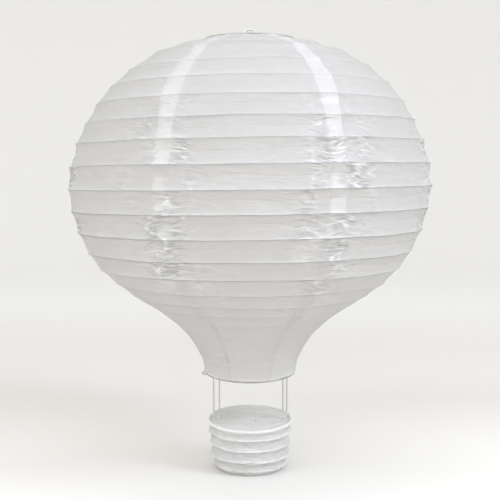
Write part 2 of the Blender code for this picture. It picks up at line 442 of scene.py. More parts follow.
def make_wire(name, dark, light, roughness, painted_light_below=None):
    """Drawn steel from dark to light, with painted light below a height."""
    material, shader, place = start_material(name, roughness, 1.0)
    patches = noise_value(place, 6.0 * MM, 3.0)
    scratches = noise_value(place, 0.25 * MM, 2.0, stretch=(1.0, 1.0, 8.0))
    colour = blend(patches, dark, light)
    if painted_light_below:
        # painted light on the U-bends low down, against the shade near the deck
        painted_light = smooth_step(coordinate(place, "Z"), painted_light_below + PAINTED_LIGHT_EDGE, painted_light_below)
        colour = blend(painted_light, colour, LEG_END_PAINTED_LIGHT)
    bump = bumped(scratches, 0.02 * MM, 0.6)
    rough = patches * 0.2 + (roughness - 0.1)
    link(shader, {"Base Color": colour, "Roughness": rough, "Normal": bump})
    print("material:", name)
    return material


bright_wire = make_wire("bright_steel_wire", (0.66, 0.66, 0.66), (0.80, 0.80, 0.79), 0.42)
dull_wire = make_wire("dull_steel_wire", (0.40, 0.39, 0.38), (0.54, 0.53, 0.51), 0.48)
worn_wire = make_wire(
    "worn_steel_wire", (0.50, 0.49, 0.47), (0.64, 0.63, 0.61), 0.45, painted_light_below=46.0 * MM
)
polished_wire = make_wire("polished_steel_wire", (0.84, 0.84, 0.83), (0.94, 0.94, 0.93), 0.30)

# %% [markdown]
# ## Measuring the rings
#
# The lantern's outline is set by its wire rings, so the frame's own rings are measured: radius and
# height of the wire's centre line, and how far the ring leans to the front and to the side.
# They could be typed in as a table, but measured rings always fit the frame. A plane fitted
# through the points of a ring gives its height and both leans, and the distances of the points
# from the axis give its radius.

# %% Measure the frame's wire rings
Ring = namedtuple("Ring", "radius height lean roll")   # metres, and slopes in Y and X


def measure_ring(node):
    """The centre line of the wire ring that a node of the frame holds."""
    points = [vertex.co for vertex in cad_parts[node].data.vertices]
    middle = sum(points, Vector()) / len(points)
    apart = [point - middle for point in points]
    lean = sum(point.y * point.z for point in apart) / sum(point.y ** 2 for point in apart)
    roll = sum(point.x * point.z for point in apart) / sum(point.x ** 2 for point in apart)
    spans = [math.hypot(point.x, point.y) for point in points]
    height = middle.z - lean * middle.y - roll * middle.x
    return Ring((min(spans) + max(spans)) / 2, height, lean, roll)


def measured(prefix):
    """The measured rings of the nodes with this prefix, from the top down."""
    names = sorted(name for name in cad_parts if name.startswith(prefix))
    return [measure_ring(name) for name in names]


crown = measure_ring("crown_ring")
mouth = measure_ring("mouth_ring")
envelope_ribs = measured("envelope_rib_")
basket_ribs = measured("basket_rib_")
basket_rim = measure_ring("basket_rim_ring")
basket_foot = measure_ring("basket_base_ring")
print("envelope ribs:", len(envelope_ribs), "widest, mm:",
      round(max(ring.radius for ring in envelope_ribs) / MM, 1))

# %% [markdown]
# ## The lines that the paper follows
#
# The paper runs outside the wires, at the distance that the frame keeps between the wire's centre
# and the paper's face. A smooth curve through the rings would bulge between them, which paper
# can't do, so from the side it is straight from ring to ring, apart from its folds. A point on it
# is found by its place along the outline (3.5 is halfway between the fourth ring and the fifth)
# and its azimuth from the front. The functions here give that point and the way that faces out.

# %% Rings outside the wires
PAPER_TO_RIB = 1.55 * MM        # from the paper's outer face to a rib's centre, in the frame


def slope_normal(upper, lower):
    """Unit vector (out, up) square to the line between two rings."""
    along = Vector((lower.radius - upper.radius, lower.height - upper.height)).normalized()
    return Vector((-along.y, along.x))


def shifted(ring, out, up):
    """The ring made larger and moved up."""
    return ring._replace(radius=ring.radius + out, height=ring.height + up)


def outer_rings(rings, distance):
    """The rings moved out, square to the outline, by a distance."""
    moved = []
    for index, ring in enumerate(rings):
        above = rings[max(index - 1, 0)]
        below = rings[min(index + 1, len(rings) - 1)]
        out = slope_normal(above, below) * distance
        moved.append(shifted(ring, out.x, out.y))
    return moved


envelope_rings = outer_rings([crown, *envelope_ribs, mouth], PAPER_TO_RIB)
envelope_rings[0] = shifted(crown, 1.1 * MM, -0.3 * MM)     # just outside the ring's wire
envelope_rings[-1] = shifted(mouth, 0.9 * MM, 0.9 * MM)
print("bands of paper:", len(envelope_rings) - 1)

# %% Points on the paper
TURN_RATE = 5.0                 # the paper turns within a tenth of a band on each side of a rib


def between(rings, along):
    """Ring at a place along the outline, with the way (out, up) that its paper faces."""
    index = min(int(along), len(rings) - 2)
    share = along - index
    upper, lower = rings[index], rings[index + 1]
    ring = Ring(*[a + (b - a) * share for a, b in zip(upper, lower)])
    facing = slope_normal(upper, lower)
    if share < 0.5 and index > 0:
        other = slope_normal(rings[index - 1], upper)
        facing = facing.lerp(other, max(0.0, 0.5 - share * TURN_RATE))
    if share > 0.5 and index < len(rings) - 2:
        other = slope_normal(lower, rings[index + 2])
        facing = facing.lerp(other, max(0.0, 0.5 - (1.0 - share) * TURN_RATE))
    return ring, facing.normalized()


def ring_point(ring, azimuth, out=0.0, up=0.0):
    """Point of a ring at an azimuth, moved out and up."""
    x = (ring.radius + out) * math.sin(azimuth)
    y = -(ring.radius + out) * math.cos(azimuth)
    return Vector((x, y, ring.height + up + y * ring.lean + x * ring.roll))


print("front of the crown, mm:",
      [round(value / MM, 1) for value in ring_point(envelope_rings[0], 0.0)])

# %% [markdown]
# ## Where the seams lie
#
# Seven strips of paper, the gores, go round the envelope. Each lies on its neighbour with its left
# edge and runs under the next one on its right, so the paper is double for about 15 mm at each
# seam. The front gore shows from edge to edge, which fixes two seams. The others share the rest of
# the circle. A table of angles would do as well, but a rule keeps the gores alike. Near the crown
# the seams stand a little further to the sides, and they stay nearly as wide as they are lower
# down, so each column of the paper is moved round by a few degrees there.

# %% Seams
GORES = ["front", "front_right", "right", "back_right", "back_left", "left", "front_left"]
FIRST_SEAM = math.radians(-27.9)    # azimuth from the front, positive to the right
FRONT_WIDTH = math.radians(49.7)
OTHER_WIDTH = (math.tau - FRONT_WIDTH) / (len(GORES) - 1)
OVERLAP = math.radians(5.7)     # 15 mm at the widest ring
starts = [FIRST_SEAM]
for number in range(len(GORES) - 1):
    starts.append(FIRST_SEAM + FRONT_WIDTH + number * OTHER_WIDTH)
print("seams, degrees:", [round(math.degrees(start)) for start in starts])

# %% Columns of the paper
STRIP_LOW = 0.86                # how wide the double strips are drawn at the widest ring
STRIP_HIGH = 1.28               # and near the crown
STRIP_WIDENS = (285 * MM, 318 * MM)     # heights between which the one becomes the other
STRIP_REACH = math.radians(8)   # how far from a seam the columns make room for it
CROWN_PULL = math.radians(3.9)  # how far to the sides the seams are pulled at the crown
PULL_GROWS = (250 * MM, 335 * MM)       # heights between which that begins and is complete


def turned(azimuth):
    """The azimuth brought between minus and plus half a turn."""
    return (azimuth + math.pi) % math.tau - math.pi


def from_seam(azimuth):
    """Angle from the middle of the nearest seam's double strip."""
    return min((turned(azimuth - start - OVERLAP / 2) for start in starts), key=abs)


def ease(low, high, value):
    """0 below low, 1 above high, and a smooth step between."""
    share = min(max((value - low) / (high - low), 0.0), 1.0)
    return share * share * (3 - 2 * share)


def pulled(azimuth, height):
    """Azimuth at which a column of the paper lies at a height."""
    off = from_seam(azimuth)
    width = STRIP_LOW + (STRIP_HIGH - STRIP_LOW) * ease(*STRIP_WIDENS, height)
    wider = (width - 1) * off * math.exp(-(off / STRIP_REACH) ** 2)
    apart = CROWN_PULL * ease(*PULL_GROWS, height) * math.sin(2 * azimuth)
    return azimuth + wider + apart


print("first seam low down and at the crown, degrees:",
      [round(math.degrees(pulled(FIRST_SEAM, height * MM)), 1) for height in (150, 340)])

# %% [markdown]
# ## Folds and crumples
#
# The lantern was shipped flat, so every band of paper keeps a crease along its middle, and small
# creases run out from the glued seams, where the double paper would not fold. They are relief
# of up to a few millimetres, deep enough to catch the light, so they go into the mesh and not
# only into a bump. Each is a formula of the place on the paper: noise whose sign is dropped makes
# the sharp valleys of a crumpled sheet. The crumples are zero on the ribs, where the paper is
# glued. Sums such as band * 2.3 + 8.1 pick a part of the noise that no other pattern uses.

# %% Noise round the lantern
ARC_RADIUS = 140 * MM           # at which a length along the paper is turned into an angle


def ripple(azimuth, length, level):
    """Smooth noise from -1 to 1 round the lantern, in patches of a length, unlike at each level."""
    turn = ARC_RADIUS / length
    return noise.noise(Vector((math.sin(azimuth) * turn, math.cos(azimuth) * turn, level)))


def crease(azimuth, length, level):
    """The same with sharp valleys, from -1 at a valley to 0."""
    return min(abs(ripple(azimuth, length, level)) * 2.2, 1.0) - 1.0


samples = [ripple(arc * 20 * MM / ARC_RADIUS, 36 * MM, 0) for arc in range(4)]
print("ripple every 20 mm:", [round(sample, 2) for sample in samples])

# %% Long creases of the bands
FOLD = 0.6 * MM                 # depth of the crease along the middle of a band
CREASE_PLACE = 0.42             # share of a band that lies above its crease
STRIP_STIFF = 11 * MM           # the double paper, so far from a seam's middle, folds less
TUCK_UNDER = 1.0 * MM           # how far the paper drops right under a rib
TUCK_OVER = 0.60 * MM           # and right over it
UNDER_REACH = 1.9 * MM
OVER_REACH = 1.1 * MM
SEAM_PULL = 32 * MM             # so far out from a seam the paper is drawn in more at the ribs


def crease_share(azimuth, band):
    """Share of a band that lies above its long crease."""
    return CREASE_PLACE + 0.14 * ripple(azimuth, 50 * MM, band * 3.1 + 1.7)


def into_crease(share, middle):
    """0 on both ribs of a band, 1 on its crease, and straight between."""
    return share / middle if share < middle else (1 - share) / (1 - middle)


def band_fold(azimuth, band, share, length, seam_arc, depth):
    """The long crease of a band, and the drop of the paper right beside each rib."""
    into_fold = into_crease(share, crease_share(azimuth, band))
    uneven = 1.0 + 0.6 * ripple(azimuth, 36 * MM, band * 2.3 + 8.1)
    uneven *= 1 - 0.55 * math.exp(-(seam_arc / STRIP_STIFF) ** 4)
    under = TUCK_UNDER * (1 - math.exp(-share * length / UNDER_REACH))
    over = TUCK_OVER * (1 - math.exp(-(1 - share) * length / OVER_REACH))
    loose = 1.0 + 0.9 * ripple(azimuth, 25 * MM, band * 1.7 + 44.0)
    tuck = under * (1 - share) * loose + over * share
    tuck *= 0.85 + 0.45 * math.exp(-(seam_arc / SEAM_PULL) ** 2)
    return -depth * (FOLD * uneven * into_fold + tuck)


folded = [band_fold(0.0, 9, share, 18 * MM, 60 * MM, 1.0) for share in (0.0, 0.1, 0.4, 0.9, 1.0)]
print("fold from rib to rib, mm:", [round(depth / MM, 2) for depth in folded])

# %% Wrinkles and crumples
WRINKLE = 0.30 * MM             # depth of the shallow wrinkles
CRUMPLE = 0.75 * MM             # depth of the crumples
CRUMPLE_REACH = 28 * MM         # how far they run out from a seam's middle


def wrinkles(azimuth, seam_arc, across, band):
    """Shallow wrinkles that run nearly along the band and fan out from the seams."""
    lean = 0.12 * abs(seam_arc) * (1 if band % 2 else -1)
    swell = WRINKLE * ripple(azimuth, 26 * MM, across / 0.007 + band * 5.3)
    sharp = WRINKLE * crease(azimuth, 30 * MM, (across + lean) / 0.0055 + band * 7.7)
    return swell + sharp


def crumple_share(azimuth, seam_arc, band):
    """How crumpled the paper is, from 0 to 1: near the seams, in some bands more than in others."""
    near = 0.12 + 0.88 * math.exp(-(seam_arc / CRUMPLE_REACH) ** 4)
    bundle = 0.60 + 1.3 * ripple(azimuth, 20 * MM, band * 1.37 + 0.4)
    return near * min(max(bundle, 0.0), 1.0) * (0.2 + 0.8 * ease(4.5, 7.5, band))


def crumples(azimuth, seam_arc, across, band):
    """Slanting creases beside a seam, before they are scaled by their share."""
    slant = across + seam_arc * (0.35 if band % 3 else -0.30)
    shape = crease(azimuth, 12 * MM, slant / 0.0050 + band * 4.1)
    return CRUMPLE * (shape + 0.5 * crease(azimuth, 7 * MM, slant / 0.0030 + band * 1.1))


beside_seam = [crumple_share(starts[1], 0.0, band) for band in range(8, 13)]
print("how crumpled five bands are at a seam:", [round(share, 2) for share in beside_seam])

# %% Relief of the paper
NECK = (128 * MM, 218 * MM)     # the paper is nearly smooth below and fully folded above
STRETCHED = (285 * MM, 320 * MM)    # between these heights it is pulled smooth again


def looseness(height):
    """How loose the paper is at a height, from 0 where it is pulled smooth to 1."""
    return ease(*NECK, height) * (1 - 0.5 * ease(*STRETCHED, height))


def relief(ring, azimuth, band, share, length):
    """How far the paper stands out from its straight band, in metres."""
    seam_arc = from_seam(azimuth) * ring.radius
    across = share * length
    slack = looseness(ring.height)
    free = math.sin(math.pi * share) ** 0.8
    loose = wrinkles(azimuth, seam_arc, across, band) * (0.20 + 0.80 * slack)
    share_crumpled = crumple_share(azimuth, seam_arc, band)
    loose += crumples(azimuth, seam_arc, across, band) * share_crumpled * slack
    fold = band_fold(azimuth, band, share, length, seam_arc, 0.14 + 0.86 * slack)
    return fold + free * loose


def wander(azimuth, along):
    """How far a rib and the paper on it sit above or below their true height."""
    wide = 0.5 * MM * ripple(azimuth, 60 * MM, along * 0.9)
    return wide + 0.25 * MM * ripple(azimuth, 22 * MM, along)


print("relief in the middle of a band, mm:",
      round(relief(envelope_rings[9], 0.0, 9, 0.5, 18 * MM) / MM, 2))

# %% [markdown]
# ## Turning an outline into paper
#
# A gore could be built face by face. Turning its outline about the axis with Spin is shorter and
# gives even faces. Rows lie close together beside a rib, where the paper bends sharply, and
# columns lie close together near the seams, where it is crumpled. Each vertex keeps its place
# along the outline in a layer, so that after the turn the relief can be worked out and the vertex
# moved to its true place. A Solidify modifier then gives the sheet its two faces.

# %% Rows of an outline
ROW_HEIGHT = 1.9 * MM           # in the middle of a band
NEAR_RIB = [0.3 * MM, 0.7 * MM, 1.3 * MM]


def band_length(rings, index):
    upper, lower = rings[index], rings[index + 1]
    return math.dist((upper.radius, upper.height), (lower.radius, lower.height))


def outline_places(rings):
    """Places along the outline, close together beside the ribs."""
    places = [0.0]
    for index in range(len(rings) - 1):
        length = band_length(rings, index)
        near = [distance / length for distance in NEAR_RIB]
        rows = max(2, round((length - 2 * NEAR_RIB[-1]) / ROW_HEIGHT))
        wide = 1 - 2 * near[-1]
        places += [index + share for share in near]
        places += [index + near[-1] + wide * row / rows for row in range(1, rows)]
        places += [index + 1 - share for share in reversed(near)]
        places.append(index + 1)
    return places


print("rows of a gore:", len(outline_places(envelope_rings)))

# %% Draw an outline
def draw_outline(sheet, layer, rings):
    """The outline's vertices, each with its place along the outline in the layer."""
    line = []
    for along in outline_places(rings):
        ring = between(rings, along)[0]
        vertex = sheet.verts.new((0, -ring.radius, ring.height))
        vertex[layer] = along
        line.append(vertex)
    return line


def joined(shape, line):
    """The vertices of a line, and new edges between them."""
    return line + [shape.edges.new(pair) for pair in zip(line, line[1:])]


# %% Spin it, and find a vertex again
def spin(shape, what, angle, steps, merge=False):
    """Turn vertices and edges about the vertical axis, and give the last of them."""
    return bmesh.ops.spin(
        shape,
        geom=what,
        cent=(0, 0, 0),
        axis=(0, 0, 1),
        angle=angle,
        steps=steps,
        use_merge=merge,
    )["geom_last"]


def azimuth_of(vertex):
    """Angle of a vertex about the axis, from the front and positive to the right."""
    return math.atan2(vertex.co.x, -vertex.co.y)


def paper_layers(sheet):
    """New layers of a sheet, in the order of their names."""
    return [sheet.verts.layers.float.new(name) for name in PaperLayers._fields]


def rib_distances(along, band, length):
    """Distances of a place along the outline from the nearest rib, and down to the next rib."""
    to_rib = min(along - band, band + 1 - along) * length
    return to_rib, (0.0 if along == band else band + 1 - along) * length


# %% Finish a piece
def face_outward(sheet):
    """Turn the faces of an open sheet away from the axis."""
    bmesh.ops.recalc_face_normals(sheet, faces=sheet.faces)
    middle = max(sheet.faces, key=lambda face: face.calc_area())
    centre = middle.calc_center_median()
    if middle.normal.x * centre.x + middle.normal.y * centre.y < 0:
        bmesh.ops.reverse_faces(sheet, faces=sheet.faces)


def make_object(shape, name, material):
    """Put the mesh of a bmesh into the scene, with its material."""
    mesh = bpy.data.meshes.new(name)
    shape.to_mesh(mesh)
    shape.free()
    mesh.shade_smooth()
    mesh.materials.append(material)
    made = bpy.data.objects.new(name, mesh)
    bpy.context.scene.collection.objects.link(made)
    return made


def finish_piece(shape, name, material, node):
    """Make a piece of a bmesh and set it on the frame in the place of its node."""
    for edge in shape.edges:
        edge.smooth = not edge.is_boundary
    piece = make_object(shape, name, material)
    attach(piece, "root")
    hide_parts(node)
    return piece


def thicken(piece, thickness):
    """Give a sheet its two faces, the new one on the inner side."""
    wall = piece.modifiers.new("sheet", "SOLIDIFY")
    wall.thickness = thickness
    wall.offset = -1.0


# %% [markdown]
# ## The seven gores
#
# One closed surface with strips painted on it would be simpler, but the edges where one sheet
# ends on the next would be missing, so each gore is a sheet of its own. The upper sheet of each
# seam is lifted by a little more than the paper's thickness, and the columns of both sheets lie at
# the same azimuths there, so that they follow each other's creases without cutting through. The
# double strip also lets less light through. That shows high up and in the lower half of each band
# further down, so the layer strip_shows says where.

# %% Where the double strips show
STRIP_WHOLE = (248 * MM, 278 * MM)      # over these heights the whole strip shows
STRIP_HALF = (180 * MM, 215 * MM)       # over these only the lower half of each band


def strip_shown(azimuth, height, band, share):
    """How plainly the double paper of a seam shows, from below 0 in the neck to 1 high up."""
    high = ease(*STRIP_WHOLE, height)
    low = ease(*STRIP_HALF, height)
    lower_half = 0.25 + 0.75 * ease(0.30, 0.55, share)
    patchy = 0.75 + 0.9 * ripple(azimuth, 14 * MM, band * 1.9 + 5.2)
    shown = high + (1 - high) * low * lower_half * min(max(patchy, 0.0), 1.0)
    return shown - 0.12 * (1 - low)


print("strip shown at 150, 240 and 300 mm:",
      [round(strip_shown(0.0, height * MM, 9, 0.5), 2) for height in (150, 240, 300)])

# %% Lift of a glued edge
STRIP_COLUMNS = 12
FINE_STEP = OVERLAP / STRIP_COLUMNS
LIFT = 0.32 * MM                # of the upper sheet over the lower one
EDGE_LIFT = 0.08 * MM           # of its glued edge
NECK_RADIUS = 150 * MM          # below this radius the steps at the strip's edges grow wider


def lift(ring, into_gore):
    """How far the paper stands out where it lies on the next gore's edge."""
    wide = min(NECK_RADIUS / ring.radius, 3.0)
    pressed = ease(0, 2 * FINE_STEP * wide, into_gore)
    settled = ease(OVERLAP, OVERLAP * (1 + 0.25 * wide), into_gore)
    return (EDGE_LIFT + (LIFT - EDGE_LIFT) * pressed) * (1 - settled)


print("lift at the edge and inside it, mm:",
      [round(lift(envelope_rings[9], step * FINE_STEP) / MM, 2) for step in (0, 2)])

# %% Shape a gore
NECK_SMOOTH = 0.9 * MM          # the ribs press through the neck as if this much further off
LAST_BAND = len(envelope_rings) - 2


def shape_gore(sheet, layer, start):
    """Move the vertices of a spun gore to their places, and fill its layers."""
    past_strip, crumpled, to_crease, to_rib, over_rib, strip_shows = paper_layers(sheet)
    for vertex in sheet.verts:
        along = vertex[layer]
        azimuth = azimuth_of(vertex)
        into_gore = turned(azimuth - start)
        ring, facing = between(envelope_rings, along)
        band = min(int(along), LAST_BAND)
        share = along - band
        length = band_length(envelope_rings, band)
        out = relief(ring, azimuth, band, share, length) + lift(ring, into_gore)
        lies_at = pulled(azimuth, ring.height)
        up = facing.y * out + wander(lies_at, along)
        vertex.co = ring_point(ring, lies_at, out=facing.x * out, up=up)

        slack = looseness(ring.height)
        seam_arc = from_seam(azimuth) * ring.radius
        smooth = (1 - ease(*NECK, ring.height)) * NECK_SMOOTH
        near, over = rib_distances(along, band, length)
        vertex[past_strip] = (into_gore - OVERLAP) * ring.radius
        vertex[crumpled] = crumple_share(azimuth, seam_arc, band) * (0.05 + 0.95 * slack)
        vertex[to_crease] = (share - crease_share(azimuth, band)) * length * slack
        vertex[to_rib] = near + smooth
        vertex[over_rib] = over * (1 - 0.45 * ease(*STRETCHED, ring.height))
        # under the last band lies the heavier mouth ring, and the paper leans on it plainly
        if band != LAST_BAND:
            vertex[over_rib] += smooth
        vertex[strip_shows] = strip_shown(azimuth, ring.height, band, share)


# %% Seven gores
SHEET = 0.25 * MM               # thickness of one sheet
FINE_COLUMNS = 28
MIDDLE_COLUMNS = 26
WALL_TRIANGLES = 4              # for each face of a sheet: two on each side of its wall


def make_gore(place, start, width):
    """A gore from its glued left edge to the edge that lies under the next one."""
    sheet = bmesh.new()
    layer = sheet.verts.layers.float.new("along")
    line = draw_outline(sheet, layer, envelope_rings)
    last = joined(sheet, line)
    bmesh.ops.rotate(sheet, verts=line, matrix=Matrix.Rotation(start, 3, "Z"))
    fine = FINE_STEP * FINE_COLUMNS
    turns = [
        (fine, FINE_COLUMNS),
        (width - 2 * fine, MIDDLE_COLUMNS),
        (fine, FINE_COLUMNS),
        (OVERLAP, STRIP_COLUMNS),
    ]
    for angle, steps in turns:
        last = spin(sheet, last, angle, steps)
    shape_gore(sheet, layer, start)
    face_outward(sheet)
    node = f"envelope_gore_{place}"
    gore = finish_piece(sheet, f"paper_gore_{place}", lantern_paper, node)
    thicken(gore, SHEET)
    print(gore.name, "triangles:", len(gore.data.polygons) * WALL_TRIANGLES)


for number, (place, start) in enumerate(zip(GORES, starts)):
    make_gore(place, start, OTHER_WIDTH if number else FRONT_WIDTH)

# %% [markdown]
# ## Wire rings
#
# The ribs are thin wire rings glued inside the paper, and heavier rings hold the crown and the
# mouth open. A curve with a round section could make them. A small circle turned all the way
# round with Spin is a mesh at once, so its points can be raised and lowered to the lean that was
# measured, and with the paper's small errors in height.

# %% Rings
RIB_WIRE = 0.45 * MM            # radius of the ribs' wire
RING_WIRE = 0.70 * MM           # and of the heavier rings
RING_STEPS = 112
GLUE_GAP = 0.02 * MM            # between a rib and its paper, so that no faces coincide
RIB_DEPTH = SHEET + RIB_WIRE + GLUE_GAP


def make_ring(node, ring, wire, sides, material, along=None):
    """A ring of round wire. One at a place along the envelope wanders as its paper does."""
    shape = bmesh.new()
    section = bmesh.ops.create_circle(shape, segments=sides, radius=wire)["verts"]
    bmesh.ops.rotate(shape, verts=section, matrix=Matrix.Rotation(math.pi / 2, 3, "X"))
    bmesh.ops.translate(shape, verts=section, vec=(ring.radius, 0, ring.height))
    spin(shape, shape.verts[:] + shape.edges[:], math.tau, RING_STEPS, merge=True)
    for vertex in shape.verts:
        vertex.co.z += vertex.co.y * ring.lean + vertex.co.x * ring.roll
        if along is not None:
            vertex.co.z += wander(azimuth_of(vertex), along)
    bmesh.ops.recalc_face_normals(shape, faces=shape.faces)
    return finish_piece(shape, f"{node}_wire", material, node)


for index, ring in enumerate(outer_rings(envelope_rings, -RIB_DEPTH)[1:-1], 1):
    make_ring(f"envelope_rib_{index:02d}", ring, RIB_WIRE, 6, dull_wire, index)
make_ring("crown_ring", crown, RING_WIRE, 10, dull_wire)
make_ring("mouth_ring", mouth, RING_WIRE, 10, dull_wire)
print("wire rings:", len(envelope_ribs) + 2)

# %% [markdown]
# ## The stretcher wire
#
# One bent wire holds the lantern open: a bar under the crown ring with the hanging loop in its
# middle, and on each side a leg down to the basket, a U-bend there, and a return up to a curl on
# the mouth ring. A curve object would give the same round wire. Here the section is walked along
# its way as a wire bender does it: extruded on the straights and spun round the bends, so that
# each length and radius is a number that can be read.

# %% Bend a wire
WIRE = 0.60 * MM
WIRE_SIDES = 12
END_BEVEL = 0.12 * MM


class BentWire:
    """Round wire that starts at a point of the plane y = 0 and is bent within that plane."""

    def __init__(self, x, z, heading):
        self.shape = bmesh.new()
        self.x = x
        self.z = z
        self.heading = math.radians(heading)    # from +X towards +Z
        made = bmesh.ops.create_circle(self.shape, segments=WIRE_SIDES, radius=WIRE)["verts"]
        turn = Matrix.Rotation(-self.heading, 3, "Y") @ Matrix.Rotation(math.pi / 2, 3, "Y")
        bmesh.ops.rotate(self.shape, verts=made, matrix=turn)
        bmesh.ops.translate(self.shape, verts=made, vec=(x, 0, z))
        self.end = self.shape.edges[:]

    def straight(self, length, steps=1):
        """Extrude the end forward."""
        step = Vector((math.cos(self.heading), 0, math.sin(self.heading))) * (length / steps)
        for _ in range(steps):
            made = bmesh.ops.extrude_edge_only(self.shape, edges=self.end)["geom"]
            moved = [item for item in made if isinstance(item, bmesh.types.BMVert)]
            bmesh.ops.translate(self.shape, verts=moved, vec=step)
            edges = [item for item in made if isinstance(item, bmesh.types.BMEdge)]
            edges = [edge for edge in edges if all(vertex in moved for vertex in edge.verts)]
            self.end = [edge for edge in edges if len(edge.link_faces) == 1]
        self.x += math.cos(self.heading) * length
        self.z += math.sin(self.heading) * length

    def bend(self, radius, degrees, steps):
        """Spin the end round a bend; a positive angle turns from +X towards +Z."""
        angle = math.radians(degrees)
        side = math.copysign(radius, degrees)
        centre_x = self.x - side * math.sin(self.heading)
        centre_z = self.z + side * math.cos(self.heading)
        corners = list({vertex for edge in self.end for vertex in edge.verts})
        made = bmesh.ops.spin(
            self.shape,
            geom=corners + self.end,
            cent=(centre_x, 0, centre_z),
            axis=(0, -1, 0),
            angle=angle,
            steps=steps,
        )["geom_last"]
        self.end = [item for item in made if isinstance(item, bmesh.types.BMEdge)]
        self.heading += angle
        self.x = centre_x + side * math.sin(self.heading)
        self.z = centre_z - side * math.cos(self.heading)

    def finish(self, node, material):
        """Close both ends, break their edges and make the piece."""
        rims = [edge for edge in self.shape.edges if len(edge.link_faces) == 1]
        caps = bmesh.ops.holes_fill(self.shape, edges=rims, sides=WIRE_SIDES)["faces"]
        print(node, "caps:", len(caps), "end at, mm:", round(self.x / MM, 1), round(self.z / MM, 1))
        bmesh.ops.bevel(
            self.shape,
            geom=[edge for cap in caps for edge in cap.edges],
            offset=END_BEVEL,
            segments=1,
            profile=0.5,
            affect="EDGES",
            material=-1,
        )
        bmesh.ops.recalc_face_normals(self.shape, faces=self.shape.faces)
        return finish_piece(self.shape, f"{node}_wire", material, node)


print("wire, mm thick:", round(2 * WIRE / MM, 2))

# %% [markdown]
# ## The top bar
#
# The bar crosses under the crown ring, and its middle is raised in an open loop that a hook can
# hold. The loop is one arc of more than half a turn between two smaller bends the other way. How
# large those are follows from the heights of the loop and the bar, so it is worked out.

# %% Top bar with its hanging loop
WIRE_GAP = 0.2 * MM             # between wires that cross
BAR_Z = crown.height - RING_WIRE - WIRE - WIRE_GAP
BAR_END_X = crown.radius - 0.3 * MM
LOOP_TOP = 368.5 * MM
LOOP_R = 6.0 * MM
LOOP_WRAP = 105                 # degrees of the loop's arc on each side of its top
loop_z = LOOP_TOP - WIRE - LOOP_R
foot_turn = math.radians(LOOP_WRAP)
foot_z = loop_z + LOOP_R * math.cos(foot_turn)
foot_r = (foot_z - BAR_Z) / (1 - math.cos(foot_turn))
foot_x = (LOOP_R + foot_r) * math.sin(foot_turn)

bar = BentWire(-BAR_END_X, BAR_Z, 0)
bar.straight(BAR_END_X - foot_x, 6)
bar.bend(foot_r, LOOP_WRAP, 8)
bar.bend(LOOP_R, -2 * LOOP_WRAP, 28)
bar.bend(foot_r, LOOP_WRAP, 8)
bar.straight(BAR_END_X - foot_x, 6)
bar.finish("stretcher_top_bar", polished_wire)

# %% [markdown]
# ## The legs
#
# Each leg hangs from the bar through the whole envelope, turns on the basket's deck and comes
# back up to the mouth. The photograph shows four such wires between envelope and basket, and one
# small curl on the mouth ring. The table holds what differs from side to side, as measured there.

# %% Legs with their U-bends and curls
DECK_TOP = 41.0 * MM
DECK_GAP = 0.1 * MM             # under the U-bends
CURL_R = 1.2 * MM
CURL_TURN = 240                 # degrees
KNEE_R = 5.0 * MM               # of the bend towards the curl, where there is room
LEG_TOP = BAR_Z - WIRE - WIRE_GAP
LEGS = {
    # side: x of the main leg, x of the return, x and z of the curl
    "left": (-26.0 * MM, -30.9 * MM, -39.1 * MM, 80.6 * MM),
    "right": (27.9 * MM, 31.3 * MM, 35.0 * MM, 85.2 * MM),
}
for side, (main_x, return_x, curl_x, curl_z) in LEGS.items():
    outward = 1 if return_x > 0 else -1
    u_radius = abs(return_x - main_x) / 2
    u_z = DECK_TOP + WIRE + DECK_GAP + u_radius
    lowest = curl_z - CURL_R
    reach = abs(curl_x - return_x)
    knee = min(KNEE_R, reach - 0.2 * MM)
    leg = BentWire(main_x, LEG_TOP, -90)
    leg.straight(LEG_TOP - u_z, 12)
    leg.bend(u_radius, 180 * outward, 12)
    leg.straight(lowest - knee - u_z, 4)
    leg.bend(knee, -90 * outward, 8)
    leg.straight(reach - knee)
    leg.bend(CURL_R, CURL_TURN * outward, 18)
    leg.finish(f"stretcher_leg_{side}", worn_wire)

# %% [markdown]
# ## The basket
#
# The basket is made like the envelope: a paper wall over four thin wire ribs, rolled over a rim
# wire at the top and tucked under at the foot. The same Spin makes it in one full turn, with its
# own folds. The roll could be a ring of its own, but a line would show where it meets the wall.
# So it is a part of the outline, turned with the rest, and rim and wall are one sheet.

# %% Outline of the basket
ROLL_R = 1.35 * MM              # of the paper rolled over the rim
ROLL_ROWS = 16
ROLL_START = math.radians(235)  # the roll runs from here, inside the rim, over its top
ROLL_END = math.radians(-62)    # to here, under its outer side

rim = shifted(basket_rim, 3.0 * MM, 3.3 * MM)
roll = shifted(rim, -ROLL_R, -ROLL_R)           # centre line of the rolled paper
basket_rings = outer_rings([rim, *basket_ribs, basket_foot], PAPER_TO_RIB)
basket_rings[0] = shifted(roll, ROLL_R * math.cos(ROLL_END), ROLL_R * math.sin(ROLL_END))
basket_rings[-1] = basket_foot._replace(radius=basket_foot.radius + 0.2 * MM, height=0.7 * MM)
for ring in basket_rings:
    print("basket ring, mm:", round(ring.radius / MM, 1), round(ring.height / MM, 1))

# %% Folds of the basket
BASKET_FOLD = 0.95 * MM         # depth of the crease along the middle of a band
BASKET_TUCK = 1.5 * MM          # how far the paper drops right under a rib
ROLL_TUCK = 0.3 * MM            # right under the roll
BASKET_TUCK_OVER = 0.9 * MM     # and right over a rib
BASKET_LUMP = 0.55 * MM
BASKET_CREASE = 0.40 * MM
BASKET_SEAM = math.radians(-33)     # where the wall's ends are glued
BASKET_SEAM_RISE = 0.35 * MM


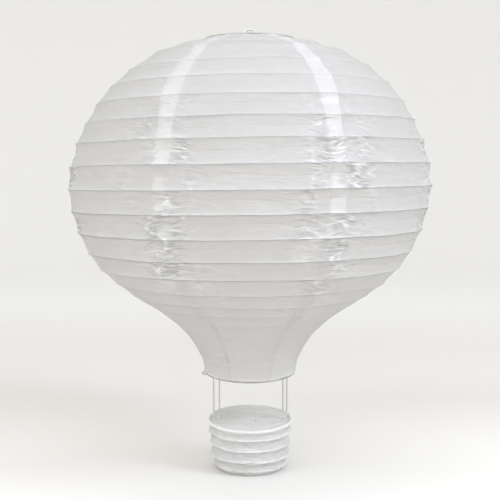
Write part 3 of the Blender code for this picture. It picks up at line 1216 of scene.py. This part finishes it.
def basket_relief(azimuth, band, share, length):
    """How far the basket's paper stands out from its straight band."""
    middle = 0.45 + 0.2 * ripple(azimuth, 45 * MM, band * 2.7 + 20.2)
    uneven = 1.0 + 0.5 * ripple(azimuth, 40 * MM, band * 1.9 + 31.4)
    below = ROLL_TUCK if band == 0 else BASKET_TUCK
    under = below * (1 - math.exp(-share * length / OVER_REACH)) * (1 - share)
    over = BASKET_TUCK_OVER * (1 - math.exp(-(1 - share) * length / OVER_REACH)) * share
    across = share * length
    lumps = BASKET_LUMP * ripple(azimuth, 30 * MM, across / 0.005 + band * 6.1)
    lumps += BASKET_CREASE * crease(azimuth, 36 * MM, across / 0.004 + band * 3.3)
    seam = BASKET_SEAM_RISE * math.exp(-(turned(azimuth - BASKET_SEAM) / 0.02) ** 2)
    depth = BASKET_FOLD * uneven * into_crease(share, middle) + (under + over)
    if band == len(basket_rings) - 2:
        depth = under
    return math.sin(math.pi * share) ** 0.7 * (lumps + seam) - depth


print("relief in the middle of a band, mm:",
      round(basket_relief(0.0, 1, 0.5, 9 * MM) / MM, 2))

# %% Outline of the rolled rim
def draw_roll(sheet, layer):
    """The outline of the rolled rim, at places from -1 to 0."""
    line = []
    for row in range(ROLL_ROWS, 0, -1):
        turn = ROLL_END + (ROLL_START - ROLL_END) * row / ROLL_ROWS
        out = roll.radius + ROLL_R * math.cos(turn)
        vertex = sheet.verts.new((0, -out, roll.height + ROLL_R * math.sin(turn)))
        vertex[layer] = -row / ROLL_ROWS
        line.append(vertex)
    return line


# %% Shape the basket
BASKET_CRUMPLED = 0.22          # how crumpled its paper is, everywhere alike
BASKET_WANDER = 0.7             # how far its rings wander, as a share of the envelope's
RIM_LUMP = 0.010                # how uneven the rolled rim is, as a share of its radius
FAR_OFF = 1.0                   # in metres: further from a rib than any pattern reaches


def shape_basket(sheet, layer):
    """Move the vertices of the spun wall to their places, and fill its layers."""
    past_strip, crumpled, _, to_rib, over_rib, strip_shows = paper_layers(sheet)
    for vertex in sheet.verts:
        along = vertex[layer]
        azimuth = azimuth_of(vertex)
        vertex[past_strip] = -1.0 if along < 0.04 else 1.0      # the roll passes no light
        vertex[strip_shows] = 1.0
        vertex[crumpled] = BASKET_CRUMPLED
        vertex[to_rib] = vertex[over_rib] = FAR_OFF
        lump = RIM_LUMP * ripple(azimuth, 30 * MM, 3.3)
        if along < 0:
            vertex.co.x *= 1.0 + lump
            vertex.co.y *= 1.0 + lump
            vertex.co.z += vertex.co.y * basket_rings[0].lean
            vertex.co.z += wander(azimuth, 41.0) * BASKET_WANDER
            continue
        ring, facing = between(basket_rings, along)
        band = min(int(along), len(basket_rings) - 2)
        length = band_length(basket_rings, band)
        out = basket_relief(azimuth, band, along - band, length)
        if along > 0.5:
            vertex[to_rib], vertex[over_rib] = rib_distances(along, band, length)
        lump *= ring.radius * max(0.0, 1 - along)
        foot = 1 - ease(len(basket_rings) - 2.5, len(basket_rings) - 1, along)
        up = facing.y * out + wander(azimuth, 41.0 + along) * BASKET_WANDER * foot
        vertex.co = ring_point(ring, azimuth, out=facing.x * out + lump, up=up)


# %% Basket wall
BASKET_STEPS = 176


def make_basket_wall():
    sheet = bmesh.new()
    layer = sheet.verts.layers.float.new("along")
    line = draw_roll(sheet, layer) + draw_outline(sheet, layer, basket_rings)
    spin(sheet, joined(sheet, line), math.tau, BASKET_STEPS, merge=True)
    shape_basket(sheet, layer)
    face_outward(sheet)
    wall = finish_piece(sheet, "basket_wall_paper", basket_paper, "basket_wall")
    thicken(wall, SHEET)
    print("basket wall faces:", len(wall.data.polygons))


make_basket_wall()

# %% [markdown]
# ## Wires of the basket
#
# Four ribs press their ridges into the wall from inside, a ring carries the rolled rim and another
# the foot. They are made by the function for the envelope's rings. All six are perfect circles,
# because at this size the paper's errors don't show on its wire.

# %% Basket ribs and rings
for index, ring in enumerate(outer_rings(basket_rings, -RIB_DEPTH)[1:-1], 1):
    make_ring(f"basket_rib_{index:02d}", ring, RIB_WIRE, 6, dull_wire)
make_ring("basket_rim_ring", basket_rim, RING_WIRE, 8, bright_wire)
make_ring("basket_base_ring", basket_foot, RING_WIRE, 8, bright_wire)
print("basket rings:", len(basket_ribs) + 2)

# %% [markdown]
# ## Deck and base
#
# A disc of card closes the basket just under the rim, and another is its base. The deck carries a
# faint ring and an oblong dent in its middle, where it was pressed down. A filled circle would
# have no vertices in its middle, so a line from the axis outward is spun round, and each vertex
# is raised or lowered by a formula.

# %% Relief of the deck
deck_radius = roll.radius - ROLL_R + 0.8 * MM
DENT_X = 2 * MM                 # where the dent's middle is, to the right of the axis
DENT = (3.9 * MM, 1.7 * MM)     # half its width where it starts and where it is deepest
DENT_DEPTH = 1.4 * MM
FAINT_RING = 24 * MM            # radius of the faint ring
EDGE_WIDTH = 2.5 * MM           # the deck turns up over this width, where it meets the wall


def card_noise(x, y, length_x, length_y, level):
    """Noise from -1 to 1 on the deck, in patches of a length each way."""
    return noise.noise(Vector((x / length_x, y / length_y, level)))


def deck_relief(x, y):
    """Height of the deck above its plane."""
    reach = math.hypot(x, y)
    dent = ease(*DENT, max(abs(x - DENT_X), abs(y) / 2))
    ring = math.exp(-((reach - FAINT_RING) / (1.0 * MM)) ** 2)
    ring *= max(0.0, card_noise(x, y, 0.02, 0.02, 7) + 0.3)
    swell = card_noise(x, y, 0.011, 0.011, 2.5)
    fold = max(0.0, 0.3 - abs(card_noise(x, y, 0.018, 0.009, 5.1)))
    edge = ease(deck_radius - EDGE_WIDTH, deck_radius, reach)
    return MM * (0.70 * swell + 0.80 * ring - 1.8 * fold + 0.9 * edge) - DENT_DEPTH * dent


print("deck radius and its middle's height, mm:",
      round(deck_radius / MM, 1), round(deck_relief(DENT_X, 0) / MM, 1))

# %% Discs
DISC_STEPS = 96
CARD_THICKNESS = 0.5 * MM


def make_disc(node, radius, top, lean, rows, relief_at=None):
    """A disc of card whose upper face has a height, a lean and a relief."""
    sheet = bmesh.new()
    line = [sheet.verts.new((0, -radius * row / rows, top)) for row in range(rows + 1)]
    spin(sheet, joined(sheet, line), math.tau, DISC_STEPS, merge=True)
    bmesh.ops.remove_doubles(sheet, verts=sheet.verts, dist=1e-6)
    for vertex in sheet.verts:
        rise = relief_at(vertex.co.x, vertex.co.y) if relief_at else 0.0
        vertex.co.z += rise + vertex.co.y * lean
    bmesh.ops.recalc_face_normals(sheet, faces=sheet.faces)
    if sum(face.normal.z for face in sheet.faces) < 0:
        bmesh.ops.reverse_faces(sheet, faces=sheet.faces)
    disc = finish_piece(sheet, f"{node}_paper", card, node)
    thicken(disc, CARD_THICKNESS)
    print(node, "radius, mm:", round(radius / MM, 1))


make_disc("basket_deck", deck_radius, DECK_TOP - 0.2 * MM, basket_rim.lean, 44, deck_relief)
make_disc("basket_base", basket_foot.radius - 0.8 * MM, CARD_THICKNESS + 0.05 * MM, 0.0, 12)

# %% [markdown]
# ## The studio
#
# The photograph is white on white: a pale floor that rises into a pale wall without a corner. A
# sweep that is turned all the way round looks the same from every side, and it throws back
# light on the lantern as a white room does. Its finish is warm and matt, with a painted shadow
# that darkens it a little behind the lantern, and lighter again in the far wall.

# %% Finish of the floor
# painted shading: light in front, a painted shadow behind the lantern, a middle tone on the far
# wall
FLOOR_FRONT = (0.910, 0.892, 0.845)
FLOOR_PAINTED_SHADOW = (0.74, 0.72, 0.675)
FLOOR_WALL = (0.82, 0.81, 0.775)


def make_floor_finish():
    material, shader, place = start_material("pale_studio_floor", 0.9, 0.0)
    depth = coordinate(place, "Y")
    behind = smooth_step(depth, 0.0, 0.3)
    far = smooth_step(depth, 0.5, 1.1)
    # painted shadow behind the lantern, broken up by patches of tone
    shadow_and_tone = noise_value(place, 0.4, 2.0) * 0.1 + behind
    colour = blend(far, blend(shadow_and_tone, FLOOR_FRONT, FLOOR_PAINTED_SHADOW), FLOOR_WALL)
    link(shader, {"Base Color": colour})
    print("material:", material.name)
    return material


# %% Floor that rises into a wall
FLOOR_REACH = 1.6               # radius of the flat floor, in metres
SWEEP_RADIUS = 1.2
SWEEP_STEPS = 12
WALL_TOP = 3.2
STAGE_STEPS = 96


def make_stage():
    shape = bmesh.new()
    line = [shape.verts.new((0, 0, 0))]
    line.append(shape.verts.new((FLOOR_REACH, 0, 0)))
    for step in range(1, SWEEP_STEPS + 1):
        turn = math.pi / 2 * step / SWEEP_STEPS
        x = FLOOR_REACH + SWEEP_RADIUS * math.sin(turn)
        line.append(shape.verts.new((x, 0, SWEEP_RADIUS * (1 - math.cos(turn)))))
    line.append(shape.verts.new((FLOOR_REACH + SWEEP_RADIUS, 0, WALL_TOP)))
    spin(shape, joined(shape, line), math.tau, STAGE_STEPS, merge=True)
    bmesh.ops.remove_doubles(shape, verts=shape.verts, dist=1e-5)
    bmesh.ops.recalc_face_normals(shape, faces=shape.faces)
    floor = make_object(shape, "studio_floor", make_floor_finish())
    print("floor across, m:", round(2 * (FLOOR_REACH + SWEEP_RADIUS), 1))


make_stage()

# %% [markdown]
# ## Light
#
# The highlights on the creases come from a fairly small lamp high on the right. A wider one high
# on the left and a wide one in front fill in its shadows. All three are cool, and the light from
# all round stands for the white room. Area lights in the shape of a disc give the soft edges of
# such lamps. Their powers were found by rendering the scene with one light at a time: light adds
# up, so the right sum of those pictures gives the powers.

# %% Lamps
LIGHTS = {
    # name: (place, diameter, power in watts, colour)
    "key": ((1.10, -0.60, 1.16), 0.50, 9.5, (0.74, 0.81, 1.0)),
    "left": ((-1.50, -1.00, 1.90), 0.80, 9.2, (0.74, 0.82, 1.0)),
    "front": ((-0.30, -2.20, 0.90), 1.20, 6.2, (0.93, 0.93, 1.0)),
}
LANTERN_MIDDLE = Vector((0, 0, 0.2))

for name, (place, diameter, power, colour) in LIGHTS.items():
    light = bpy.data.lights.new(name, "AREA")
    light.shape = "DISK"
    light.size = diameter
    light.energy = power
    light.color = colour
    lamp = bpy.data.objects.new(name, light)
    lamp.location = place
    aim = LANTERN_MIDDLE - Vector(place)
    lamp.rotation_euler = aim.to_track_quat("-Z", "Y").to_euler()
    bpy.context.scene.collection.objects.link(lamp)
    print("lamp:", name, "at, m:", round(aim.length, 2))

# %% Light of the room
ROOM = (0.969, 0.976, 1.0)
ROOM_STRENGTH = 1.19

world = bpy.data.worlds.new("room")
world.use_nodes = True
background = world.node_tree.nodes["Background"]
background.inputs["Color"].default_value = (*ROOM, 1.0)
background.inputs["Strength"].default_value = ROOM_STRENGTH
bpy.context.scene.world = world
bpy.context.scene.view_settings.view_transform = "Standard"
print("room:", ROOM_STRENGTH)

# %% [markdown]
# ## Camera
#
# A product photograph is taken from a short way off, a little above the middle of the object and
# tipped slightly down. How far down follows from the ellipses of the mouth and the basket's rim,
# which would be straight lines seen from their own height. The "Standard" view above keeps white
# paper white, where Blender's usual view would make it grey.

# %% Camera
CAMERA_DISTANCE = 0.8215        # from the lantern's axis
CAMERA_HEIGHT = 0.2499
CAMERA_PITCH = math.radians(4.49)
SENSOR = 36.0
FOCAL = 70.56

lens = bpy.data.cameras.new("camera")
lens.sensor_width = SENSOR
lens.lens = FOCAL
camera = bpy.data.objects.new("camera", lens)
camera.location = (0, -CAMERA_DISTANCE, CAMERA_HEIGHT)
camera.rotation_euler = (math.pi / 2 - CAMERA_PITCH, 0, 0)
bpy.context.scene.collection.objects.link(camera)
bpy.context.scene.camera = camera
print("width seen at the axis, m:", round(CAMERA_DISTANCE * SENSOR / FOCAL, 3))
